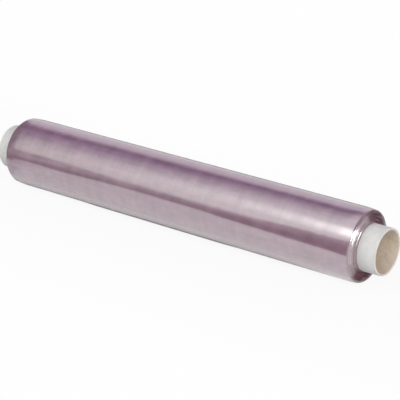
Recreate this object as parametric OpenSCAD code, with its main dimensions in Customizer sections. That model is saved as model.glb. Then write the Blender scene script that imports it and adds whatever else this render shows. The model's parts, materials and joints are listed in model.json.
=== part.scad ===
// Catering roll of cling film, wound on a paperboard core and lying on its side.
// X runs along the roll, Z is up, and the origin is on the surface that it lies on,
// under the middle of the roll.

/* [Wound film] */
// Width of the film, at the turns next to the core
film_w = 450; // [300:1:600]
// Outer diameter of the wound film
film_d = 75.5; // [66:0.5:110]
// How far the turns at the core stand out past the outermost turns at each end
end_dome = 4.5; // [0:0.5:8]
// Rings that show on each end, one for each group of turns
turn_rings = 12; // [4:1:20]
// How far a group of turns wanders along the roll
ring_wander = 0.4; // [0:0.05:0.8]
// Share of a ring that slopes to the next one, where one group passes into another
ring_slope = 0.3; // [0.1:0.05:0.9]
// Width of the flat that the roll has settled onto
rest_flat_w = 8; // [2:0.5:12]

/* [Core] */
// Bore of the paperboard core
core_bore = 44; // [30:0.5:52]
// Wall of the core
core_wall = 2.3; // [1.5:0.1:4]
// How far the core sticks out past the film at each end
core_stub = 20; // [5:0.5:40]
// Bevel left by the knife on both edges of the core's cut ends
rim_bevel = 0.3; // [0.1:0.05:0.5]

/* [Hidden] */

$fn = 96;
core_r = core_bore / 2 + core_wall;
core_len = film_w + 2 * core_stub;
film_r = film_d / 2;
// The flat cuts the roll this far below its axis
axis_z = sqrt(film_r ^ 2 - (rest_flat_w / 2) ^ 2);
// The rings are spaced evenly round the quarter ellipse of the domed end
ring_angle = 90 / turn_rings;
// Successive groups wander by this angle's sine, which never settles into a pattern
wander_turn = 137.5;

// Radius and depth of the domed end at an angle from the core, 0, to the shoulder, 90
function dome_radius(angle) = core_r + (film_r - core_r) * sin(angle);
function dome_depth(angle) = end_dome * (1 - cos(angle));

// How far one group of turns has moved along the roll, to either side
function wander(ring) = ring_wander / 2 * sin(wander_turn * ring);

// Where a ring's crest starts and ends, counted in rings from the core
function crest_start(ring) = ring == 0 ? 0 : ring + ring_slope / 2;
function crest_end(ring) = ring == turn_rings - 1 ? turn_rings : ring + 1 - ring_slope / 2;

// Both edges of a ring's crest at side 1 or -1, as radius and place along the roll
function crest(ring, side) = [
    for (edge = [crest_start(ring), crest_end(ring)])
        [
            dome_radius(edge * ring_angle),
            side * (film_w / 2 - dome_depth(edge * ring_angle)) + wander(ring)
        ]
];

// The whole end from the core out to the shoulder
function end_outline(side) = [
    for (ring = [0 : turn_rings - 1])
        for (corner = crest(ring, side)) corner
];

function reversed(points) = [for (i = [len(points) - 1 : -1 : 0]) points[i]];

// Turns a shape made round Z so that it lies along X, on the roll's axis
module along_roll() {
    translate([0, 0, axis_z]) rotate([0, 90, 0]) children();
}

// The paperboard tube, one closed section spun round the axis
module cardboard_core() {
    bore_r = core_bore / 2;
    end_x = core_len / 2;
    color("whitesmoke")
        along_roll()
            rotate_extrude()
                polygon([
                    [bore_r, rim_bevel - end_x],
                    [bore_r + rim_bevel, -end_x],
                    [core_r - rim_bevel, -end_x],
                    [core_r, rim_bevel - end_x],
                    [core_r, end_x - rim_bevel],
                    [core_r - rim_bevel, end_x],
                    [bore_r + rim_bevel, end_x],
                    [bore_r, end_x - rim_bevel]
                ]);
}

// All the turns of film as one solid, with domed and ringed ends
module wound_turns() {
    along_roll()
        rotate_extrude()
            polygon(concat(end_outline(-1), reversed(end_outline(1))));
}

// The turns, settled onto a narrow flat along their whole width
module wound_film() {
    color("#ab9aa4")
        difference() {
            wound_turns();
            translate([-film_w, -film_d, -film_d])
                cube([2 * film_w, 2 * film_d, film_d]);
        }
}

cardboard_core();
wound_film();
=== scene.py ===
import json
import math

import bmesh
import bpy
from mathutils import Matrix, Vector


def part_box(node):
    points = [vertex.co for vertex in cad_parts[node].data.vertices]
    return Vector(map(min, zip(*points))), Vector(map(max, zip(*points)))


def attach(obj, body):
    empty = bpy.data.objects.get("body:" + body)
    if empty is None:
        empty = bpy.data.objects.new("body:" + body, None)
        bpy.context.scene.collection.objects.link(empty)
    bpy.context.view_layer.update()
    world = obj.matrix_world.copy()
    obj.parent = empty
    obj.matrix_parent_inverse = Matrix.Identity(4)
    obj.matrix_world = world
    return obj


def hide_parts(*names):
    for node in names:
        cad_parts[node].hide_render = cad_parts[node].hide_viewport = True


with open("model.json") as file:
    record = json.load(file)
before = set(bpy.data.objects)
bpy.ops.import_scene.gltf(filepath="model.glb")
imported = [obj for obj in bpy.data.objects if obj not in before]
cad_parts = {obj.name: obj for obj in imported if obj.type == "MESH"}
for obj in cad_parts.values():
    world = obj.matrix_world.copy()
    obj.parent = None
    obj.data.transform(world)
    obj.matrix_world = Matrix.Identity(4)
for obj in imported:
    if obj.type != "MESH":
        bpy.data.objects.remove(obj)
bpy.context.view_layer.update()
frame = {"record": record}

# Sizes read from the frame

MM = 0.001
core_low, core_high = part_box("cardboard_core")
film_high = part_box("wound_film")[1]
bore = next(m for m in frame["record"]["mounts"] if m["name"] == "core_bore")
bore_r = bore["dims"]["r_mm"] * MM
axis_z = bore["pos_m"][2]
core_r = (core_high.y - core_low.y) / 2
core_half = core_high.x
film_r = film_high.y

# Sizes of the winding, as in the solid model

film_half = 225 * MM
end_dome = 4.5 * MM
turn_rings = 12
ring_wander = 0.4 * MM
ring_slope = 0.3
wander_turn = math.radians(137.5)

AXIS = Vector((0, 0, axis_z))
ALONG = Vector((1, 0, 0))


# Shader maths

def add_node(tree, kind, settings, inputs, out):
    node = tree.nodes.new(kind)
    for name, value in settings.items():
        setattr(node, name, value)
    for name, value in inputs.items():
        if isinstance(value, Wire):
            tree.links.new(value.socket, node.inputs[name])
        else:
            node.inputs[name].default_value = value
    return Wire(tree, node.outputs[out])


class Wire:
    """One output in a material's nodes. Sums of wires and numbers add Math nodes."""

    def __init__(self, tree, socket):
        self.tree = tree
        self.socket = socket

    def node(self, kind, settings=None, inputs=None, out=0):
        return add_node(self.tree, kind, settings or {}, inputs or {}, out)

    def math(self, operation, first, second=0.0):
        return self.node("ShaderNodeMath", {"operation": operation}, {0: first, 1: second})

    def __add__(self, other):
        return self.math("ADD", self, other)

    def __radd__(self, other):
        return self.math("ADD", other, self)

    def __sub__(self, other):
        return self.math("SUBTRACT", self, other)

    def __rsub__(self, other):
        return self.math("SUBTRACT", other, self)

    def __mul__(self, other):
        return self.math("MULTIPLY", self, other)

    def __rmul__(self, other):
        return self.math("MULTIPLY", other, self)

    def __truediv__(self, other):
        return self.math("DIVIDE", self, other)

    def __rtruediv__(self, other):
        return self.math("DIVIDE", other, self)

    def __pow__(self, other):
        return self.math("POWER", self, other)

    def __rpow__(self, other):
        return self.math("POWER", other, self)

    def __abs__(self):
        return self.math("ABSOLUTE", self)


def smooth_step(wire, start, end):
    """Eases from 0 where the wire is at start to 1 where it is at end."""
    settings = {"interpolation_type": "SMOOTHSTEP"}
    inputs = {"Value": wire, "From Min": start, "From Max": end}
    return wire.node("ShaderNodeMapRange", settings, inputs)


def blend(mask, first, second):
    """The first colour where the mask is 0 and the second where it is 1."""
    first_socket, second_socket, colour_out = 6, 7, 2
    inputs = {0: mask, first_socket: first, second_socket: second}
    return mask.node("ShaderNodeMix", {"data_type": "RGBA"}, inputs, colour_out)


def point(x, y, z):
    """A place made of wires and numbers, at least one of them a wire."""
    wire = next(w for w in (x, y, z) if isinstance(w, Wire))
    return wire.node("ShaderNodeCombineXYZ", {}, {0: x, 1: y, 2: z})


def noise(where, scale, detail=2.0, roughness=0.5):
    inputs = {"Vector": where, "Scale": scale, "Detail": detail, "Roughness": roughness}
    return where.node("ShaderNodeTexNoise", {}, inputs)


def parts_of(vector):
    """The x, y and z of a vector wire."""
    return [vector.node("ShaderNodeSeparateXYZ", {}, {0: vector}, out) for out in range(3)]


def new_material(name, **constants):
    """A material, its Principled node with the constants set, and object place as x, y, z."""
    material = bpy.data.materials.new(name)
    material.use_nodes = True
    tree = material.node_tree
    surface = tree.nodes["Principled BSDF"]
    for socket, value in constants.items():
        surface.inputs[socket.replace("_", " ")].default_value = value
    place = add_node(tree, "ShaderNodeTexCoord", {}, {}, "Object")
    x, y, z = parts_of(place)
    return material, surface, x, y, z - axis_z


def grey(shade):
    return (shade, shade, shade, 1)


def feed(surface, **wires):
    for socket, wire in wires.items():
        wire.tree.links.new(wire.socket, surface.inputs[socket.replace("_", " ")])


def bump(height, strength, distance):
    inputs = {"Height": height, "Strength": strength, "Distance": distance}
    return height.node("ShaderNodeBump", {}, inputs)


# Materials

def film_side():
    """The glossy outermost turns: lilac and pearly, with the bands of the film's gauge."""
    material, surface, x, y, z = new_material(
        "film_side", IOR=2.3, Coat_Weight=1.0, Coat_Roughness=0.08, Coat_IOR=2.0
    )
    turn = y.math("ARCTAN2", z, y) / (2 * math.pi)
    gauge = noise(point(x * 60, 0.0, 0.0), 1.0, 3.0, 0.6)
    streak = noise(point(x * 900, turn * 2, 0.0), 1.0, 2.0, 0.5)
    strand = noise(point(x * 7, y * 200, z * 200), 1.0, 3.0, 0.55)
    cloud = noise(point(x * 12, y * 25, z * 25), 1.0, 3.0, 0.5)
    smear = noise(point(x * 75, y * 120, z * 120), 1.0, 2.0, 0.5)
    tone = gauge * 0.28 + streak * 0.12 + strand * 0.2 + cloud * 0.15 + smear * 0.25
    colour = blend(smooth_step(tone, 0.35, 0.65), (0.215, 0.121, 0.16, 1), (0.335, 0.2, 0.256, 1))
    feed(
        surface,
        Base_Color=colour,
        Roughness=0.15 + strand * 0.08 + streak * 0.05,
        Normal=bump(gauge * 0.6 + strand * 0.4 + streak * 0.05 + smear * 4, 0.35, 0.00012),
    )
    return material


def film_ends():
    """The edges of all the turns: dark maroon, with a fine line for each group of turns."""
    material, surface, x, y, z = new_material(
        "film_ends", IOR=2.3, Coat_Weight=1.0, Coat_Roughness=0.1, Coat_IOR=2.0
    )
    radius = (y * y + z * z) ** 0.5
    turn = y.math("ARCTAN2", z, y) / (2 * math.pi)
    lines = noise(point(radius * 2200, turn * 1.5, 0.0), 1.0, 3.0, 0.7)
    cloud = noise(point(x * 30, y * 30, z * 30), 1.0, 3.0, 0.5)
    tone = smooth_step(lines * 0.75 + cloud * 0.25, 0.35, 0.65)
    colour = blend(tone, (0.085, 0.03, 0.04, 1), (0.23, 0.1, 0.132, 1))
    feed(
        surface,
        Base_Color=colour,
        Roughness=0.14 + lines * 0.1,
        Normal=bump(lines, 1.0, 0.0001),
    )
    return material


def white_liner():
    """The white paper outside the core, with a grain and a faint mottle."""
    material, surface, x, y, z = new_material("white_liner", Roughness=0.7)
    grain = noise(point(x * 1800, y * 1800, z * 1800), 1.0, 3.0, 0.6)
    mottle = noise(point(x * 90, y * 90, z * 90), 1.0, 4.0, 0.6)
    colour = blend(smooth_step(mottle, 0.3, 0.7), (0.635, 0.635, 0.61, 1), (0.715, 0.715, 0.69, 1))
    feed(
        surface,
        Base_Color=colour,
        Roughness=0.62 + grain * 0.2,
        Normal=bump(grain + mottle, 0.3, 0.00008),
    )
    return material


def cut_board():
    """The cut rim of the core, where the glued plies show as fine rings."""
    material, surface, x, y, z = new_material("cut_board", Roughness=0.85)
    radius = (y * y + z * z) ** 0.5
    plies = noise(point(radius * 1600, 0.0, 0.0), 1.0, 2.0, 0.6)
    fibres = noise(point(x * 1200, y * 1200, z * 1200), 1.0, 3.0, 0.6)
    colour = blend(plies * 0.7 + fibres * 0.3, (0.58, 0.51, 0.44, 1), (0.8, 0.74, 0.68, 1))
    feed(surface, Base_Color=colour, Normal=bump(fibres + plies, 0.5, 0.0001))
    return material


def bare_board():
    """The bare grey-brown board inside the core, with flecks of fibre."""
    material, surface, x, y, z = new_material("bare_board", Roughness=0.85)
    fibres = noise(point(x * 500, y * 1400, z * 1400), 1.0, 4.0, 0.65)
    flecks = noise(point(x * 160, y * 160, z * 160), 1.0, 5.0, 0.7)
    colour = blend(
        smooth_step(fibres * 0.5 + flecks * 0.5, 0.35, 0.65),
        (0.7, 0.59, 0.465, 1),
        (0.86, 0.77, 0.63, 1),
    )
    feed(
        surface,
        Base_Color=colour,
        Roughness=0.75 + fibres * 0.2,
        Normal=bump(fibres + flecks * 0.5, 0.4, 0.0001),
    )
    return material


# Shapes

def spread(start, end, count):
    """Evenly spaced values from start to end, both included."""
    return [start + (end - start) * i / count for i in range(count + 1)]


def polar(vert):
    """Radius of a vertex about the roll's axis, and its turn from 0 to 1, 0 at the back."""
    y = vert.co.y
    z = vert.co.z - axis_z
    return math.hypot(y, z), (math.atan2(z, y) / (2 * math.pi)) % 1


def set_polar(vert, radius, turn):
    angle = turn * 2 * math.pi
    vert.co.y = radius * math.cos(angle)
    vert.co.z = axis_z + radius * math.sin(angle)


def is_at(value, place):
    return abs(value - place) < 0.001 * MM


def is_turn(turn, place):
    """True where a turn, which runs from 0 to 1 and over, is at a place."""
    return abs((turn - place + 0.5) % 1 - 0.5) < 0.0001


def spin_outline(outline, arcs):
    """Spins a closed outline of (x, radius) points in arcs of (share of a turn, steps)."""
    bm = bmesh.new()
    chain = [bm.verts.new((x, radius, axis_z)) for x, radius in outline]
    edges = [bm.edges.new(pair) for pair in zip(chain, chain[1:] + chain[:1])]
    geometry = chain + edges
    for share, steps in arcs:
        made = bmesh.ops.spin(
            bm, geom=geometry, cent=AXIS, axis=ALONG, angle=share * 2 * math.pi, steps=steps
        )
        geometry = made["geom_last"]
    bmesh.ops.remove_doubles(bm, verts=bm.verts, dist=0.001 * MM)
    bmesh.ops.recalc_face_normals(bm, faces=bm.faces)
    return bm


def add_object(name, bm, materials):
    mesh = bpy.data.meshes.new(name)
    bm.to_mesh(mesh)
    bm.free()
    for material in materials:
        mesh.materials.append(material)
    made = bpy.data.objects.new(name, mesh)
    bpy.context.scene.collection.objects.link(made)
    return made


def as_piece(name, bm, sharp_angle, materials, node):
    """Makes the bmesh a finished piece that stands for a node."""
    for face in bm.faces:
        face.smooth = True
    for edge in bm.edges:
        if len(edge.link_faces) == 2:
            edge.smooth = edge.calc_face_angle() < sharp_angle
    piece = add_object(name, bm, materials)
    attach(piece, "root")
    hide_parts(node)


def end_profile(side):
    """The ringed and domed end at side 1 or -1, from the core out, as (x, radius) points."""
    fine_groove = 0.015 * MM
    lines_per_ring = 4
    points = []
    for ring in range(turn_rings):
        start = 0 if ring == 0 else ring + ring_slope / 2
        end = turn_rings if ring == turn_rings - 1 else ring + 1 - ring_slope / 2
        shift = ring_wander / 2 * math.sin(wander_turn * ring)
        for step, place in enumerate(spread(start, end, lines_per_ring)):
            angle = place / turn_rings * math.pi / 2
            depth = end_dome * (1 - math.cos(angle)) + fine_groove * (step % 2)
            radius = core_r + (film_r - core_r) * math.sin(angle)
            points.append((side * (film_half - depth) + shift, radius))
    return points


def gauge_band(x):
    """How far the roll is slack at x, from 0 to 1, where the film runs a little thin."""
    waves = ((37 * MM, 0.7, 0.5), (17.3 * MM, 2.1, 0.3), (9.1 * MM, 4.0, 0.2))
    total = 0
    for length, start, share in waves:
        total += share * math.sin(x * 2 * math.pi / length + start)
    return 0.5 + total / 2


def slack_edge(x, reach):
    """How far the outer turns fall away at x, from 0 at reach inside each end to 1 at the end."""
    shoulder = film_half - end_dome
    return min(1, max(0, 1 - (shoulder - abs(x)) / reach)) ** 2


def wound_film():
    """All the turns, with a faint step along the back where the free end clings."""
    rows = 180
    around = 190
    tail_gap = 0.0004
    tail_step = 0.03 * MM
    tail_lean = 0.006
    band_depth = 0.06 * MM
    edge_depth = 0.7 * MM
    left_reach = 11 * MM
    right_reach = 14 * MM
    shoulder_w = 2 * MM
    glossy_r = 36.7 * MM
    right = end_profile(1)
    left = end_profile(-1)
    side = [(x, film_r) for x in spread(left[-1][0], right[-1][0], rows)[1:-1]]
    bm = spin_outline(left + side + right[::-1], [(1 - tail_gap, around), (tail_gap, 1)])
    for vert in bm.verts:
        radius, turn = polar(vert)
        reach = right_reach if vert.co.x > 0 else left_reach
        slack = edge_depth * slack_edge(vert.co.x, reach)
        slack += band_depth * gauge_band(vert.co.x) + tail_step * (1 - turn)
        radius -= slack * max(0, 1 - (film_r - radius) / shoulder_w)
        set_polar(vert, radius, turn + tail_lean * vert.co.x / film_half)
        vert.co.z = max(vert.co.z, 0.0)
    for face in bm.faces:
        centre = face.calc_center_median()
        radius = math.hypot(centre.y, centre.z - axis_z)
        on_end = abs(centre.x) > film_half - end_dome - ring_wander
        face.material_index = int(on_end and radius < glossy_r)
    finishes = [film_side(), film_ends()]
    as_piece("film_roll", bm, math.radians(12), finishes, "wound_film")


def cut_rim(side, bevel):
    """The knife-cut end of the core from outside in, with a fine groove between its plies."""
    plies = 5
    groove = 0.05 * MM
    end_x = side * core_half
    points = [(end_x, core_r - bevel)]
    for radius in spread(core_r, bore_r, plies)[1:-1]:
        points.append((end_x, radius + groove))
        points.append((end_x - side * groove, radius))
        points.append((end_x, radius - groove))
    return points + [(end_x, bore_r + bevel)]


def outer_twist(x, lead):
    """Turns that the seam of the outer ply has made at x. Under the film it only joins up."""
    if abs(x) > film_half:
        return (x - math.copysign(core_half, x)) / lead
    return -x / film_half * (core_half - film_half) / lead


def cardboard_core():
    """The spiral-wound tube, with a groove where the edges of its outer and inner plies meet."""
    bevel = 0.3 * MM
    seam_turns = 4
    seam_depth = 0.12 * MM
    seam_half = 0.002
    inner_seam = 0.37
    lead = 2 * core_half / seam_turns
    end_x = core_half - bevel
    stub_rows = 12
    covered_rows = 14
    bore_rows = 196
    outer_x = spread(-end_x, -film_half, stub_rows)
    outer_x += spread(-film_half, film_half, covered_rows)[1:-1]
    outer_x += spread(film_half, end_x, stub_rows)
    outer = [(x, core_r) for x in outer_x]
    inner = [(x, bore_r) for x in spread(end_x, -end_x, bore_rows)]
    outline = outer + cut_rim(1, bevel) + inner + cut_rim(-1, bevel)[::-1]
    arcs = []
    for share, steps in ((inner_seam, 48), (1 - inner_seam, 80)):
        arcs += [(seam_half, 1), (share - 2 * seam_half, steps), (seam_half, 1)]
    bm = spin_outline(outline, arcs)
    outside, cut, inside = 0, 1, 2
    for face in bm.faces:
        radii = [polar(vert)[0] for vert in face.verts]
        if min(radii) > core_r - bevel - 0.001 * MM:
            face.material_index = outside
        elif max(radii) < bore_r + bevel / 2:
            face.material_index = inside
        else:
            face.material_index = cut
    for vert in bm.verts:
        radius, turn = polar(vert)
        x = vert.co.x
        if is_at(radius, core_r):
            radius -= seam_depth * is_turn(turn, 0)
            turn += outer_twist(x, lead)
        elif is_at(radius, bore_r):
            radius += seam_depth * is_turn(turn, inner_seam)
            turn += (x - core_half) / lead
        set_polar(vert, radius, turn)
    finishes = [white_liner(), cut_board(), bare_board()]
    as_piece("core_tube", bm, math.radians(30), finishes, "cardboard_core")


# Studio

def stage_piece(name, bm, material):
    """Makes the bmesh a part of the studio and not of the roll."""
    piece = add_object(name, bm, [material])
    return piece


def ray_is(tree, kind):
    """1 where the ray is of this kind, and 0 for any other."""
    return add_node(tree, "ShaderNodeLightPath", {}, {}, f"Is {kind} Ray")


def away_from(x, y, middle, half, slope):
    """Distance from a line along the roll, with what lies past its ends times a slope."""
    past_end = slope * abs(x - middle) - slope * half
    past_end = past_end.math("MAXIMUM", past_end, 0.0)
    return (past_end ** 2 + y * y) ** 0.5


def floor():
    """White paper that shows white, with the shade near the roll painted by place, not cast.

    The glow is gone along a thin line by the roll, where the paper's own shadow shows,
    and a little weaker nearer the roll, a painted shade. The gloss shows the same paper,
    with a wider painted shade under the roll and its core, and painted darker to the left.
    """
    half_width = 40
    material, surface, x, y, z = new_material(
        "floor_paper", Base_Color=grey(0.74), Roughness=0.9, Specular_IOR_Level=0.1
    )
    tree = material.node_tree
    white = tree.nodes.new("ShaderNodeEmission")
    mixed = tree.nodes.new("ShaderNodeMixShader")
    contact = away_from(x, y, -30 * MM, 80 * MM, 0.2)
    # Painted shade: the camera sees the glow a little weaker near the roll, and none along a thin
    # line by it, where the paper's own shadow shows.
    glow_with_painted_shadow = 0.92 + 0.06 * smooth_step(contact, 30 * MM, 250 * MM)
    glow_with_painted_shadow = glow_with_painted_shadow * smooth_step(contact, 9.8 * MM, 11.8 * MM)
    under_roll = away_from(x, y, -50 * MM, 150 * MM, 0.2)
    stub_middle = (core_half + film_half) / 2
    under_core = away_from(abs(x), y, stub_middle, core_half - stub_middle, 1.0)
    # Painted shade in the gloss: it sees less glow to the left, and none under the roll and its
    # core.
    gloss_glow_with_painted_shade = 0.77 + 0.23 * smooth_step(x, -250 * MM, 100 * MM)
    gloss_glow_with_painted_shade = gloss_glow_with_painted_shade * smooth_step(under_roll, 12 * MM, 34 * MM)
    gloss_glow_with_painted_shade = gloss_glow_with_painted_shade * smooth_step(under_core, 5 * MM, 30 * MM)
    looked_at = ray_is(tree, "Camera") + ray_is(tree, "Transmission")
    seen = looked_at * glow_with_painted_shadow + ray_is(tree, "Glossy") * gloss_glow_with_painted_shade
    tree.links.new(seen.socket, mixed.inputs[0])
    tree.links.new(surface.outputs[0], mixed.inputs[1])
    tree.links.new(white.outputs[0], mixed.inputs[2])
    tree.links.new(mixed.outputs[0], tree.nodes["Material Output"].inputs["Surface"])
    bm = bmesh.new()
    bmesh.ops.create_grid(bm, x_segments=1, y_segments=1, size=half_width)
    stage_piece("floor", bm, material)


def card(name, shade, rows, top_shade=None, light=0.0, shades_light=False):
    """A card through rows of places, each in order of x. The camera doesn't see it."""
    material, surface, x, y, z = new_material(
        name, Base_Color=grey(shade), Roughness=0.9, Emission_Strength=light
    )
    if top_shade:
        fade = smooth_step(z - 0.1 * x, 0.0, 0.07)
        feed(surface, Base_Color=blend(fade, grey(shade), grey(top_shade)))
    bm = bmesh.new()
    corners = [bm.verts.new(place) for place in rows[0]]
    edges = [bm.edges.new(pair) for pair in zip(corners, corners[1:])]
    for row in rows[1:]:
        made = bmesh.ops.extrude_edge_only(bm, edges=edges)["geom"]
        corners = [part for part in made if isinstance(part, bmesh.types.BMVert)]
        corners.sort(key=lambda corner: corner.co.x)
        for corner, place in zip(corners, row):
            corner.co = place
        edges = [part for part in made if isinstance(part, bmesh.types.BMEdge)]
        edges = [edge for edge in edges if all(vert in corners for vert in edge.verts)]
    piece = stage_piece(name, bm, material)
    piece.visible_camera = False
    piece.visible_diffuse = shades_light
    piece.visible_shadow = shades_light


def cards():
    """What the gloss shows besides the room: a line along the film, and its edges and ends."""
    card("front_card", 0.02, [
        [
            (-0.6, -0.2, 0.0),
            (-0.27, -0.207, 0.007),
            (-0.2, -0.21, 0.027),
            (-0.08, -0.213, 0.026),
            (-0.03, -0.201, 0.013),
            (0.01, -0.192, 0.012),
            (0.05, -0.183, 0.006),
            (0.2, -0.148, 0.003),
        ],
        [
            (-0.6, -0.2, 0.122),
            (-0.27, -0.207, 0.112),
            (-0.2, -0.21, 0.096),
            (-0.08, -0.213, 0.092),
            (-0.03, -0.201, 0.092),
            (0.01, -0.192, 0.094),
            (0.05, -0.183, 0.114),
            (0.2, -0.148, 0.114),
        ],
    ], top_shade=0.8)
    card("back_card", 0.5, [
        [(-0.5, 0.12, 0.0), (0.25, 0.12, 0.0)],
        [(-0.5, 0.12, 0.074), (0.25, 0.12, 0.074)],
    ])
    card("right_card", 0.02, [
        [(0.2262, -0.03, 0.002), (0.262, 0.022, 0.002)],
        [(0.222, 0.14, 0.002), (0.3, 0.12, 0.002)],
        [(0.24, 0.38, 0.002), (0.52, 0.36, 0.002)],
        [(0.24, 0.39, 0.25), (0.62, 0.37, 0.25)],
    ])
    card("right_light", 0.8, [
        [
            (0.31, 0.06, 0.002),
            (0.4, 0.07, 0.002),
            (0.43, 0.03, 0.006),
            (0.434, 0.026, 0.09),
            (0.51, -0.28, 0.17),
        ],
        [
            (0.31, 0.06, 0.034),
            (0.4, 0.07, 0.06),
            (0.43, 0.03, 0.085),
            (0.434, 0.026, 0.16),
            (0.51, -0.28, 0.35),
        ],
    ], light=9.0)
    card("face_light", 0.8, [
        [(0.268, -0.04, 0.003), (0.45, -0.04, 0.003)],
        [(0.268, 0.02, 0.003), (0.45, 0.02, 0.003)],
        [(0.285, 0.062, 0.003), (0.45, 0.062, 0.003)],
    ], light=0.8)
    card("left_card", 0.02, [
        [(-0.54, -0.24, 0.0), (-0.5, 0.12, 0.0)],
        [(-0.54, -0.24, 0.35), (-0.5, 0.12, 0.35)],
    ], shades_light=True)
    card("left_back_card", 0.02, [
        [(-0.6, -0.02, 0.002), (-0.228, -0.02, 0.002)],
        [(-0.6, 0.4, 0.002), (-0.26, 0.4, 0.002)],
    ])
    card("left_front_card", 0.02, [
        [(-0.6, -0.1, 0.002), (-0.3, -0.115, 0.002)],
        [(-0.6, -0.2, 0.002), (-0.36, -0.205, 0.002)],
    ])
    card("left_grey_card", 0.88, [
        [(-0.6, -0.03, 0.001), (-0.23, -0.03, 0.001)],
        [(-0.6, -0.2, 0.001), (-0.28, -0.2, 0.001)],
    ])


def studio_world():
    """White walls, a dim ceiling, a big soft window at the left and a tube along the roll."""
    world = bpy.data.worlds.new("studio")
    bpy.context.scene.world = world
    world.use_nodes = True
    tree = world.node_tree
    x, y, z = parts_of(add_node(tree, "ShaderNodeTexCoord", {}, {}, "Generated"))
    tube_angle = math.radians(51)
    above_floor = smooth_step(z, 0.1, 0.25)
    far_left = smooth_step(-1 * x, 0.64, 0.8) * above_floor
    back_wall = smooth_step(y, 0, 0.3) * above_floor
    right_wall = smooth_step(x, 0.25, 0.6) * smooth_step(-1 * y, -0.1, 0.2)
    right_wall = right_wall * smooth_step(-1 * z, -0.6, -0.4)
    ceiling = smooth_step(z + 0.35 * smooth_step(-1 * x, 0.63, 0.75), 0.54, 0.73)
    beam = smooth_step(y - 1.1 * (x + 0.53), 0.12, 0.4)
    ceiling_end = smooth_step(-1 * x, 0.56, 0.68)
    window = smooth_step(2.35 * (x + 0.55) - y, -0.3, 0.52) * smooth_step(z, 0.12, 0.35)
    window = window * smooth_step(-1 * x, -0.6, -0.2)
    curtain = smooth_step(x, -0.3, -0.08)
    above_tube = z * math.cos(tube_angle) + y * math.sin(tube_angle)
    tube = smooth_step(-1 * abs(above_tube + 0.06 * curtain), -0.3, -0.05)
    tube = tube * smooth_step(x, -0.545, -0.42) * smooth_step(-1 * y, 0, 0.2)
    room = blend(back_wall, (0.8, 0.8, 0.8, 1), (0.83, 0.75, 0.85, 1))
    room = blend(right_wall, room, (1.25, 1.25, 1.25, 1))
    dim = blend(ceiling_end, (0.26, 0.2, 0.4, 1), (0.12, 0.08, 0.22, 1))
    dim = blend(beam, dim, (0.04, 0.02, 0.12, 1))
    room = blend(ceiling, room, dim)
    panes = blend(smooth_step(x, -0.72, -0.55), (0.83, 0.86, 0.82, 1), (1.27, 1.32, 1.27, 1))
    panes = blend(curtain, panes, (0.3, 0.3, 0.3, 1))
    room = blend(window, room, panes)
    room = blend(far_left, room, (0.12, 0.1, 0.12, 1))
    room = blend(tube, room, blend(curtain, (3.8, 3.8, 3.8, 1), (3, 3, 3, 1)))
    room = blend(smooth_step(z, 0, 0.05), (0.98, 0.98, 0.98, 1), room)
    tree.links.new(room.socket, tree.nodes["Background"].inputs["Color"])


def camera():
    """The photograph's view: from the right and above, with a long lens."""
    azimuth = math.radians(36.68)
    elevation = math.radians(22.45)
    distance = 1.683
    aside = 0.0151
    below = 0.0053
    flat = math.cos(elevation)
    back = Vector((math.sin(azimuth) * flat, -math.cos(azimuth) * flat, math.sin(elevation)))
    right = Vector((math.cos(azimuth), math.sin(azimuth), 0))
    up = back.cross(right)
    data = bpy.data.cameras.new("camera")
    data.lens = 144
    data.sensor_width = 36
    eye = bpy.data.objects.new("camera", data)
    bpy.context.scene.collection.objects.link(eye)
    eye.location = AXIS + back * distance + right * aside - up * below
    eye.rotation_euler = back.to_track_quat("Z", "Y").to_euler()
    bpy.context.scene.camera = eye


bpy.context.scene.view_settings.view_transform = "Standard"
camera()
wound_film()
cardboard_core()
floor()
cards()
studio_world()
